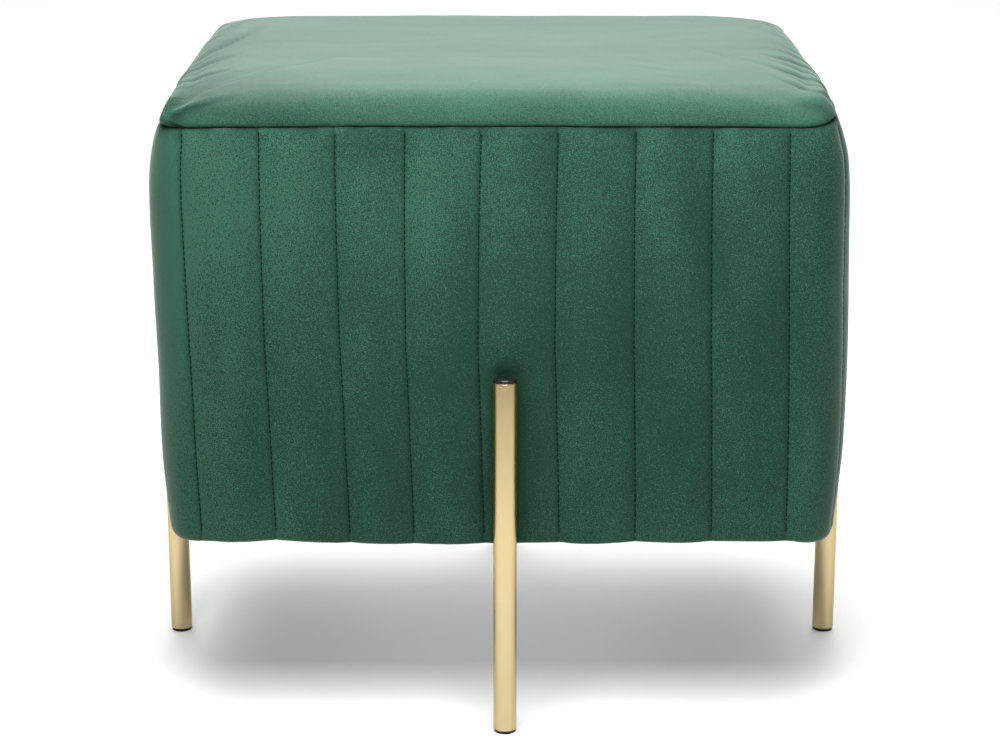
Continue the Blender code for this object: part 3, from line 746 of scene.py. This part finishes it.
def rolled_top():
    """The plain top panel: rolled over the upper edge, drawn into gathers at its side seams."""
    rows = profile_rows(TOP_SECTIONS, TOP_ROWS, 0.0)
    at, places = 0.0, []
    for length, count in TOP_SPACING:
        places += [at + length * step / count for step in range(count)]
        at += length
    distance = np.broadcast_to(np.array(places)[None, :], (TOP_ROWS, len(places)))
    flat = np.zeros(distance.shape)
    _, _, side_x, side_y = outline(distance, flat, band_radii(flat))
    frontness = np.where(side_y < 0, side_y ** 2, 0)
    height = rows[:, 0:1] + (rows[:, 2:3] - rows[:, 0:1]) * frontness
    inset = rows[:, 1:2] + (rows[:, 3:4] - rows[:, 1:2]) * frontness
    steps = np.hypot(np.diff(inset, axis=0, prepend=inset[:1]), np.diff(height, axis=0, prepend=height[:1]))
    above_seam = np.cumsum(steps, axis=0)
    x, y, normal_x, normal_y = outline(distance, inset, top_radii(inset, height))
    on_seat = smooth_step(*SEAT_FROM, inset) * (1 - smooth_step(*SEAT_FRONT, y))
    height = height + (seat_height(x, y, rows) - height) * on_seat
    height = height + seam_rise(distance) * (1 - smooth_step(TOP_FLOOR, TOP_RISES_TO, height))
    fold = fold_height(x, y)
    sharp = (crease_depth(x, y) - fold) * smooth_step(0, CREASED_FROM, above_seam)
    trough = gather_depth(x, y, normal_x, inset) + sharp
    steepness = 1 - smooth_step(TOP_SECTIONS[0][1] * MM, ROLL_ENDS, inset)
    points = np.stack((x, y, height), axis=-1)
    swell = TOP_SWELL * ripples(points, "top swell") + TOP_WAVES * ripples(points, "top waves")
    out = bow(x, y, normal_x, normal_y, height, inset) - drawn_in(distance, height)
    fuller = smooth_step(0, STRAIGHT_Y, y) * smooth_step(0, FULLER_WITHIN, above_seam)
    across = sideways(x, y, height) + FULLER_BACK * x / CUBE_HALF_WIDTH * fuller
    grid = np.stack((x + normal_x * out + across, y + normal_y * out, height), axis=-1)
    held = (above_seam < HELD_LIP) | (inset > HELD_SEAT)
    sampled = np.arange(0, len(places), TOP_COLUMN_STEP)
    grid = grid + settled(grid, held, TOP_ROW_STEP, sampled, LARGEST_MOVE_ON_TOP)
    out = (swell * smooth_step(*SWELLS_FROM, inset) - trough) * steepness
    at_seam = 1 - smooth_step(TOP_FLOOR, TOP_FLOOR + WANDERS_UPWARDS, height - seam_rise(distance))
    lift = wander(distance) * at_seam - (trough - swell) * (1 - steepness)
    grid = grid + np.stack((normal_x * out, normal_y * out, lift), axis=-1)
    crown = grid[-1, :, 2].mean()
    # painted shade at the seam, in the creases, in the hollows before the folds and under the pinched corner
    painted_shade = LIP_DARK * np.exp(-(above_seam / LIP_HEIGHT) ** 2) + CREASE_DARK * np.clip(sharp / MM, 0, 1)
    painted_shade = painted_shade + HOLLOW_DARK * np.clip(-fold / HOLLOW_DEPTH, 0, 1)
    pinched = np.clip(2 * normal_x * normal_y, 0, 1) * (x < 0) * (y < 0)
    painted_shade = painted_shade + PINCH_DARK * pinched * (1 - smooth_step(PINCH_FROM, PINCHED_WITHIN, above_seam))
    return wrapped_cloth("rolled_top", grid, (0, 0, TOP_FLOOR), (0, 0, crown), painted_shade)


# -------- stitching

STITCH_PITCH = 3.5 * MM
STITCH_LENGTH = 2.8 * MM
STITCH_WIDTH = 0.95 * MM
STITCH_DEPTH = 0.8 * STITCH_WIDTH
STITCH_LIFT = 0.3 * MM
STITCHED_ABOVE_FOOT = 5 * MM
STITCHED_INSET = 9 * MM  # the stitches end where the band turns in


def channel_stitching(seams):
    """A row of small stitches down each sewn channel seam. seams holds their points, from the foot up."""
    nothing_selected()
    bpy.ops.mesh.primitive_uv_sphere_add(segments=6, ring_count=4, radius=0.5)
    stitch = bpy.context.object
    shape = np.array([vertex.co for vertex in stitch.data.vertices])
    faces = [list(face.vertices) for face in stitch.data.polygons]
    bpy.data.objects.remove(stitch, do_unlink=True)
    points, polygons = [], []
    for seam in range(CHANNEL_COUNT):
        line = seams[:, seam]
        run = np.concatenate(((0,), np.cumsum(np.linalg.norm(np.diff(line, axis=0), axis=1))))
        at_middle = np.array([seam_distance(seam, SEAM_TABLE_HEIGHTS[1])])
        _, _, out_x, out_y = outline(at_middle, np.zeros(1), band_radii(np.zeros(1)))
        out = np.array((out_x[0], out_y[0], 0.0))
        for middle_run in np.arange(STITCH_LENGTH, run[-1] - STITCH_LENGTH, STITCH_PITCH):
            ends = (middle_run - MM / 2, middle_run + MM / 2)
            low, high = np.stack([np.interp(ends, run, column) for column in line.T], axis=1)
            up = (high - low) / np.linalg.norm(high - low)
            sides = np.stack((np.cross(up, out) * STITCH_WIDTH, out * STITCH_DEPTH, up * STITCH_LENGTH))
            start = len(points) * len(shape)
            points.append((low + high) / 2 + out * STITCH_LIFT + shape @ sides)
            polygons += [[start + corner for corner in face] for face in faces]
    mesh = bpy.data.meshes.new("channel_stitching")
    mesh.from_pydata(np.concatenate(points).tolist(), [], polygons)
    mesh.shade_smooth()
    stitching = bpy.data.objects.new("channel_stitching", mesh)
    bpy.context.scene.collection.objects.link(stitching)
    return stitching


# -------- legs

TURN_STEPS = 64
POLE_RADIUS = 0.4 * MM  # how near its axis a solid piece's profile starts
DOME_ANGLES = np.linspace(0.12, 1.45, 10)
SHARP_ANGLE = math.radians(40)


def turned(name, profile, centre):
    """Turn a profile, from its lowest point on the axis to its highest, round a leg's own axis."""
    nothing_selected()
    bpy.ops.mesh.primitive_circle_add(vertices=TURN_STEPS, radius=profile[0][0], fill_type="NOTHING",
                                      location=(centre[0], centre[1], profile[0][1]))
    piece = bpy.context.object
    piece.name = piece.data.name = name
    bpy.ops.object.transform_apply(location=True, rotation=True, scale=True)
    bpy.ops.object.mode_set(mode="EDIT")
    bpy.ops.mesh.select_all(action="SELECT")
    for (radius, height), (next_radius, next_height) in zip(profile, profile[1:]):
        bpy.ops.mesh.extrude_edges_move(TRANSFORM_OT_translate={"value": (0, 0, next_height - height)})
        share = next_radius / radius
        axis = (centre[0], centre[1], next_height)
        bpy.ops.transform.resize(value=(share, share, 1), center_override=axis)
    return piece


def closed_piece(piece, ring_joined):
    """Close a turned shell at its poles, or join its last ring to its first, and shade it."""
    if not ring_joined:
        bpy.ops.mesh.select_all(action="DESELECT")
        bpy.ops.mesh.select_mode(type="EDGE")
        bpy.ops.mesh.select_non_manifold()
        bpy.ops.mesh.edge_face_add()
    bpy.ops.mesh.select_all(action="SELECT")
    bpy.ops.mesh.remove_doubles(threshold=JOINED_WITHIN)
    bpy.ops.mesh.normals_make_consistent(inside=False)
    bpy.ops.object.mode_set(mode="OBJECT")
    bpy.ops.object.shade_smooth_by_angle(angle=SHARP_ANGLE)
    return piece


def rounded(corners, turn, steps):
    """Round the inner corners of a profile with small arcs."""
    points = [corners[0]]
    for before, corner, after in zip(corners, corners[1:], corners[2:]):
        corner, before, after = (np.array(point) for point in (corner, before, after))
        reach = min(turn, np.linalg.norm(before - corner) / 2.1, np.linalg.norm(after - corner) / 2.1)
        start = corner + (before - corner) / np.linalg.norm(before - corner) * reach
        end = corner + (after - corner) / np.linalg.norm(after - corner) * reach
        for step in range(steps + 1):
            share = step / steps
            points.append((1 - share) ** 2 * start + 2 * share * (1 - share) * corner + share ** 2 * end)
    return points + [corners[-1]]


def legs():
    """Four tubes, each with a domed plug in its top end and a glide in its foot."""
    foot = GLIDE_HEIGHT + CLEAR
    bore = TUBE_RADIUS - TUBE_WALL
    middle = (foot + TUBE_TOP) / 2
    tube = rounded([(TUBE_RADIUS, middle), (TUBE_RADIUS, TUBE_TOP), (bore, TUBE_TOP),
                    (bore, foot), (TUBE_RADIUS, foot), (TUBE_RADIUS, middle)], 0.35 * MM, 3)
    stem = bore - CLEAR
    seat = TUBE_TOP + CLEAR
    lip = seat + PLUG_LIP_HEIGHT
    plug = rounded([(POLE_RADIUS, seat - STEM_LENGTH), (stem, seat - STEM_LENGTH), (stem, seat),
                    (PLUG_LIP_RADIUS, seat), (PLUG_LIP_RADIUS, lip)], 0.25 * MM, 2)
    plug += [(PLUG_LIP_RADIUS * math.cos(angle), lip + PLUG_DOME_HEIGHT * math.sin(angle))
             for angle in DOME_ANGLES]
    top = GLIDE_HEIGHT + STEM_LENGTH
    glide = rounded([(POLE_RADIUS, 0), (GLIDE_RADIUS, 0), (GLIDE_RADIUS, GLIDE_HEIGHT),
                     (stem, GLIDE_HEIGHT), (stem, top), (POLE_RADIUS, top)], 0.5 * MM, 3)
    made = []
    for name, centre, _ in leg_places():
        for part, profile, slot in (("leg", tube, "gold_tube"), ("leg_plug", plug, "black_plastic"),
                                    ("foot_glide", glide, "black_plastic")):
            piece = closed_piece(turned("turned_" + part + "_" + name, profile, centre), part == "leg")
            made.append((piece, part + "_" + name, slot))
    return made


# -------- finishes

VELVET_DARK = (0.008, 0.034, 0.020, 1)
VELVET_LIGHT = (0.028, 0.092, 0.058, 1)
VELVET_PAINTED_SHEEN = (0.108, 0.148, 0.124, 1)  # painted sheen: a pale colour mixed in where the cloth turns away from the view
# painted shade colour, mixed in where a per-point attribute says shade falls
VELVET_PAINTED_SHADE = (0.002, 0.018, 0.010, 1)
GOLD_DARK = (0.60, 0.465, 0.24, 1)
GOLD_LIGHT = (0.67, 0.535, 0.295, 1)
GOLD_PAINTED_EDGE = (0.45, 0.30, 0.06, 1)  # painted darker reflection, where the tube turns away
GOLD_PAINTED_FOOT_SHADE = (0.42, 0.355, 0.22, 1)  # painted shade, mixed in down the lower part of the tube
BLACK_DARK = (0.005, 0.005, 0.006, 1)
BLACK_LIGHT = (0.013, 0.013, 0.014, 1)
THREAD_DARK = (0.001, 0.010, 0.006, 1)
THREAD_LIGHT = (0.003, 0.022, 0.013, 1)
FLOOR_DARK = (0.79, 0.79, 0.79, 1)
FLOOR_LIGHT = (0.81, 0.81, 0.81, 1)
EVENLY = (1, 1, 1)


class Value:
    """An output of a node. Arithmetic on values adds Math nodes."""

    def __init__(self, nodes, socket):
        self.nodes = nodes
        self.socket = socket

    def math(self, operation, first, second):
        return self.nodes.node("ShaderNodeMath", {"operation": operation}, {0: first, 1: second})

    def __add__(self, other):
        return self.math("ADD", self, other)

    def __sub__(self, other):
        return self.math("SUBTRACT", self, other)

    def __rsub__(self, other):
        return self.math("SUBTRACT", other, self)

    def __mul__(self, other):
        return self.math("MULTIPLY", self, other)

    def __pow__(self, other):
        return self.math("POWER", self, other)

    __radd__ = __add__
    __rmul__ = __mul__


class Nodes:
    """The nodes of a material or a world."""

    def __init__(self, owner):
        owner.use_nodes = True
        self.tree = owner.node_tree

    def feed(self, node, sockets):
        """Set or link a node's sockets."""
        for socket, value in sockets.items():
            if isinstance(value, Value):
                self.tree.links.new(value.socket, node.inputs[socket])
            else:
                node.inputs[socket].default_value = value

    def node(self, kind, settings=None, sockets=None, output=0):
        """Add a node: its settings first, then the values or links of its sockets."""
        made = self.tree.nodes.new(kind)
        for setting, value in (settings or {}).items():
            setattr(made, setting, value)
        self.feed(made, sockets or {})
        return Value(self, made.outputs[output])

    def between(self, low, high, value, curve="LINEAR", to=(0, 1)):
        """Remap a value so that low to high becomes 0 to 1, or the two values of to."""
        return self.node("ShaderNodeMapRange", {"interpolation_type": curve}, {
            "Value": value, "From Min": low, "From Max": high, "To Min": to[0], "To Max": to[1]})


class Finish(Nodes):
    """A material whose pattern nodes feed one Principled shader."""

    def __init__(self, name, surface):
        self.material = bpy.data.materials.new(name)
        super().__init__(self.material)
        self.shader = self.tree.nodes["Principled BSDF"]
        self.feed(self.shader, surface)
        self.places = self.node("ShaderNodeTexCoord", output="Object")

    def speckle(self, stretch, scale, detail=2.0, roughness=0.5):
        """Noise on the piece's own coordinates, from 0 to 1, stretched along the axes."""
        mapped = self.node("ShaderNodeMapping", None, {"Vector": self.places, "Scale": stretch})
        return self.node("ShaderNodeTexNoise", None,
                         {"Vector": mapped, "Scale": scale, "Detail": detail, "Roughness": roughness})

    def near_mark(self, axis, mark, unevenness):
        """1 at a mark, fading to 0 at its uneven edge. It lies across x and across one other axis."""
        x_mm, along_mm, half_width_mm, half_length_mm = mark
        place, scale = [-x_mm / half_width_mm, 0, 0], [1 / (half_width_mm * MM), 0, 0]
        place[axis] = -along_mm / half_length_mm
        scale[axis] = 1 / (half_length_mm * MM)
        mapped = self.node("ShaderNodeMapping", None,
                           {"Vector": self.places, "Location": place, "Scale": scale})
        away = self.node("ShaderNodeVectorMath", {"operation": "LENGTH"}, {0: mapped}, output=1)
        return self.between(*MARK_FADES, away + unevenness * MARK_UNEVEN, "SMOOTHSTEP")

    def turned_away(self):
        """How far the surface turns away from the view, from 0 to 1."""
        return self.node("ShaderNodeLayerWeight", None, {"Blend": 0.5}, output=1)

    def blend(self, share, first, second):
        """Mix two colours."""
        return self.node("ShaderNodeMix", {"data_type": "RGBA"}, {0: share, 6: first, 7: second}, output=2)

    def bump(self, height, depth, strength, under=None):
        """Raise a height pattern, on top of another bump."""
        sockets = {"Height": height, "Distance": depth, "Strength": strength}
        if under is not None:
            sockets["Normal"] = under
        return self.node("ShaderNodeBump", None, sockets)


UPRIGHT, LYING = 2, 1  # the axis that marks lie along, besides x
MARK_FADES = (1.6, 0.3)  # distances over which a mark comes up, in its half sizes
MARK_UNEVEN = 0.8  # how far the patches move a mark's edge
BAND_MARKS_WITH_PAINTED_LIGHT = (
    # pale and dark marks, partly brushed pile and partly painted light and shade (darker over the whole
    # band, low down and towards the right, lighter at the upper left and at the left edge): x_mm, z_mm,
    # half_width_mm, half_height_mm, lift
    (0, 300, 420, 180, -0.38),
    (-62, 342, 70, 62, 0.4),
    (-160, 340, 64, 80, 0.65),
    (-210, 310, 26, 170, 1.3),
    (-81, 380, 30, 15, -0.4),
    (216, 310, 22, 90, 0.3),
    (216, 160, 22, 60, -0.5),
    (-55, 175, 105, 85, -0.45),
    (65, 270, 60, 70, -0.12),
    (60, 165, 90, 80, -0.22),
    (150, 220, 75, 190, -0.32),
)
TOP_MARKS_WITH_PAINTED_LIGHT = (
    # the same on the top, partly painted light on the lip of the front roll and painted shade near the left
    # corner and along the side rolls: x_mm, y_mm, half_width_mm, half_depth_mm, lift
    (190, -163, 60, 10, 0.3),
    (-60, -165, 220, 9, 0.5),
    (-135, -160, 75, 13, -0.4),
    (-165, -125, 60, 32, -0.4),
    (-205, -70, 40, 120, -0.7),
    (205, -40, 34, 110, -0.4),
)
BAND_PILE = {
    # how brush strokes and patches are scaled along x, y and z, the pile's contrast, and its painted sheen:
    # the power that keeps it near the edge, and its share there
    "strokes": (0.5, 0.5, 1.5), "patches": (1.2, 1.2, 0.5),
    "contrast": 3.4, "painted_sheen_power": 3.0, "painted_sheen_share": 1.3,
}
TOP_PILE = {
    "strokes": (0.35, 1, 1), "patches": (0.35, 1, 1), "contrast": 1.5, "painted_sheen_power": 1.7, "painted_sheen_share": 0.85,
}
STROKES_LIFT, PATCHES_LIFT = 0.5, 0.8  # how much each lifts the pile
MIDDLE_LIFT = (STROKES_LIFT + PATCHES_LIFT) / 2
MIDDLE_SHADE = 0.4


def velvet(name, look, axis, marks):
    """Short-pile green velvet: fine pile and brushed patches, with painted light and shade marks, painted
    sheen where it turns away, and painted shade from a per-point attribute.
    """
    finish = Finish(name, {
        "Sheen Weight": 0.2,
        "Sheen Roughness": 0.36,
        "Sheen Tint": (0.72, 1.0, 0.84, 1.0),
        "Specular IOR Level": 0.12,
    })
    pile = finish.speckle(EVENLY, 1700, 0.0)
    tufts = finish.speckle(EVENLY, 900, 1.0)
    brushed = finish.speckle(look["strokes"], 60, 4.0, 0.6)
    patches = finish.speckle(look["patches"], 20, 3.0, 0.55)
    # pile lift from brush strokes and patches, plus painted light and shade from the marks
    pile_and_painted_light = brushed * STROKES_LIFT + patches * PATCHES_LIFT - MIDDLE_LIFT
    for mark in marks:
        pile_and_painted_light = pile_and_painted_light + finish.near_mark(axis, mark[:4], patches) * mark[4]
    contrast = (pile - 0.5) * look["contrast"]
    shade = contrast + tufts * 0.1 + pile_and_painted_light + MIDDLE_SHADE
    colour = finish.blend(shade, VELVET_DARK, VELVET_LIGHT)
    # painted sheen: pale colour mixed in where the cloth turns away from the view
    painted_sheen = look["painted_sheen_share"] + contrast * 0.15 + pile_and_painted_light * 0.3
    colour = finish.blend(finish.turned_away() ** look["painted_sheen_power"] * painted_sheen, colour, VELVET_PAINTED_SHEEN)
    # painted shade in seams, creases, under the top seam and beside the legs, read from a per-point
    # attribute
    painted_shade = finish.node("ShaderNodeAttribute", {"attribute_name": "painted_shade"}, output=2)
    colour = finish.blend(painted_shade, colour, VELVET_PAINTED_SHADE)
    rough = 0.72 + brushed * 0.2
    lift = finish.bump(patches, 0.6 * MM, 0.35)
    lift = finish.bump(tufts, 0.2 * MM, 0.25, lift)
    lift = finish.bump(pile, 0.25 * MM, 0.6, lift)
    finish.feed(finish.shader, {"Base Color": colour, "Roughness": rough, "Normal": lift})
    return finish.material


def satin_gold():
    """Satin gold plating with a faint upright grain, painted darker reflections where it turns away and
    painted shade down its lower part.
    """
    finish = Finish("satin gold plating", {"Metallic": 1.0})
    grain = finish.speckle((1, 1, 0.03), 1800)
    clouds = finish.speckle((1, 1, 0.4), 60, 3.0)
    colour = finish.blend(clouds, GOLD_DARK, GOLD_LIGHT)
    # painted darker reflection where the tube turns away
    colour = finish.blend(finish.between(0.2, 0.55, finish.turned_away()), colour, GOLD_PAINTED_EDGE)
    # painted shade, darker towards the foot
    height = finish.node("ShaderNodeSeparateXYZ", None, {0: finish.places}, output=2)
    colour = finish.blend(finish.between(0.20, 0.08, height) * 0.5, colour, GOLD_PAINTED_FOOT_SHADE)
    rough = 0.24 + clouds * 0.1 + grain * 0.06
    lift = finish.bump(grain, 0.02 * MM, 0.25)
    finish.feed(finish.shader, {"Base Color": colour, "Roughness": rough, "Normal": lift})
    return finish.material


def moulded_black():
    """Moulded black plastic with a fine spark-eroded texture."""
    finish = Finish("moulded black plastic", {"Specular IOR Level": 0.25})
    grain = finish.speckle(EVENLY, 2600, 2.0, 0.6)
    clouds = finish.speckle(EVENLY, 300)
    colour = finish.blend(clouds, BLACK_DARK, BLACK_LIGHT)
    rough = 0.2 + clouds * 0.15
    lift = finish.bump(grain, 0.03 * MM, 0.3)
    finish.feed(finish.shader, {"Base Color": colour, "Roughness": rough, "Normal": lift})
    return finish.material


def dark_thread():
    """Dark green sewing thread."""
    finish = Finish("dark green thread", {"Specular IOR Level": 0.02})
    twist = finish.speckle(EVENLY, 2200, 1.0)
    colour = finish.blend(twist, THREAD_DARK, THREAD_LIGHT)
    lift = finish.bump(twist, 0.05 * MM, 0.5)
    finish.feed(finish.shader, {"Base Color": colour, "Roughness": 0.6 + twist * 0.2, "Normal": lift})
    return finish.material


def pale_floor():
    """A plain pale studio floor."""
    finish = Finish("pale floor", {"Roughness": 0.9, "Specular IOR Level": 0.1})
    clouds = finish.speckle(EVENLY, 0.8)
    finish.feed(finish.shader, {"Base Color": finish.blend(clouds, FLOOR_DARK, FLOOR_LIGHT)})
    return finish.material


# -------- studio

CAMERA_PLACE = (-0.0016, -1.596, 0.619)
CAMERA_TILT = math.radians(74.97)
CAMERA_LENS = 84.35
CAMERA_SENSOR = 36
FLOOR_SIZE = 60
SKY_LOW, SKY_HIGH = 0.15, 1.1  # the studio's brightness, level with the stool and overhead
SCREENED = 0.25  # what dark screens leave of it on the left and right
LIGHT_PANELS = (
    # name, place, point it faces, side of the square panel, watts
    ("near panel", (-0.03, -0.5, 0.98), (0, -0.12, 0.36), 0.6, 14.0),
    ("top panel", (-0.05, 0.5, 1.5), (0, 0, 0.4), 1.2, 20.0),
    ("far panel", (0, 3.6, 2.5), (0, 3.6, 0), 3.0, 60.0),
    ("floor fill", (0, 0, 0.118), (0, 0, 0), 0.3, 0.16),
)


def studio():
    """The camera at the photo's angle, a plain pale floor and soft lights."""
    nothing_selected()
    bpy.ops.object.camera_add(location=CAMERA_PLACE, rotation=(CAMERA_TILT, 0, 0))
    camera = bpy.context.object
    camera.data.lens = CAMERA_LENS
    camera.data.sensor_width = CAMERA_SENSOR
    bpy.context.scene.camera = camera
    nothing_selected()
    bpy.ops.mesh.primitive_plane_add(size=FLOOR_SIZE)
    floor = bpy.context.object
    floor.name = "studio_floor"
    floor.data.materials.append(pale_floor())
    bright_studio()
    bpy.context.scene.view_settings.view_transform = "Standard"
    for name, place, target, size, power in LIGHT_PANELS:
        nothing_selected()
        bpy.ops.object.light_add(type="AREA", location=place)
        light = bpy.context.object
        light.name = name
        light.data.size = size
        light.data.energy = power
        light.rotation_euler = (Vector(target) - Vector(place)).to_track_quat("-Z", "Y").to_euler()


def bright_studio():
    """A white studio round the stool, brightest overhead."""
    world = bpy.data.worlds.new("studio")
    sky = Nodes(world)
    direction = sky.node("ShaderNodeTexCoord", output="Generated")
    upward = sky.node("ShaderNodeSeparateXYZ", None, {0: direction}, output="Z")
    sideward = sky.node("ShaderNodeSeparateXYZ", None, {0: direction}, output="X")
    aside = sky.node("ShaderNodeMath", {"operation": "ABSOLUTE"}, {0: sideward})
    overhead = sky.between(0, 0.8, upward, "SMOOTHSTEP", (SKY_LOW, SKY_HIGH))
    strength = overhead * sky.between(0.3, 0.95, aside, "SMOOTHSTEP", (1, SCREENED))
    sky.feed(sky.tree.nodes["Background"], {"Color": (1, 1, 1, 1), "Strength": strength})
    bpy.context.scene.world = world


# -------- putting the stool together

def dress():
    """Make every piece, give it its finish and hang it on the CAD."""
    gold, black, thread = satin_gold(), moulded_black(), dark_thread()
    band, seams = channelled_band()
    band.data.materials.append(velvet("velvet band", BAND_PILE, UPRIGHT, BAND_MARKS_WITH_PAINTED_LIGHT))
    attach(band, "root")
    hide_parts("side_band")
    top = rolled_top()
    top.data.materials.append(velvet("velvet top", TOP_PILE, LYING, TOP_MARKS_WITH_PAINTED_LIGHT))
    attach(top, "root")
    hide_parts("top_panel")
    stitching = channel_stitching(seams)
    stitching.data.materials.append(thread)
    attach(stitching, "root")
    for piece, node, slot in legs():
        piece.data.materials.append(gold if slot == "gold_tube" else black)
        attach(piece, "root")
        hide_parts(node)


studio()
dress()
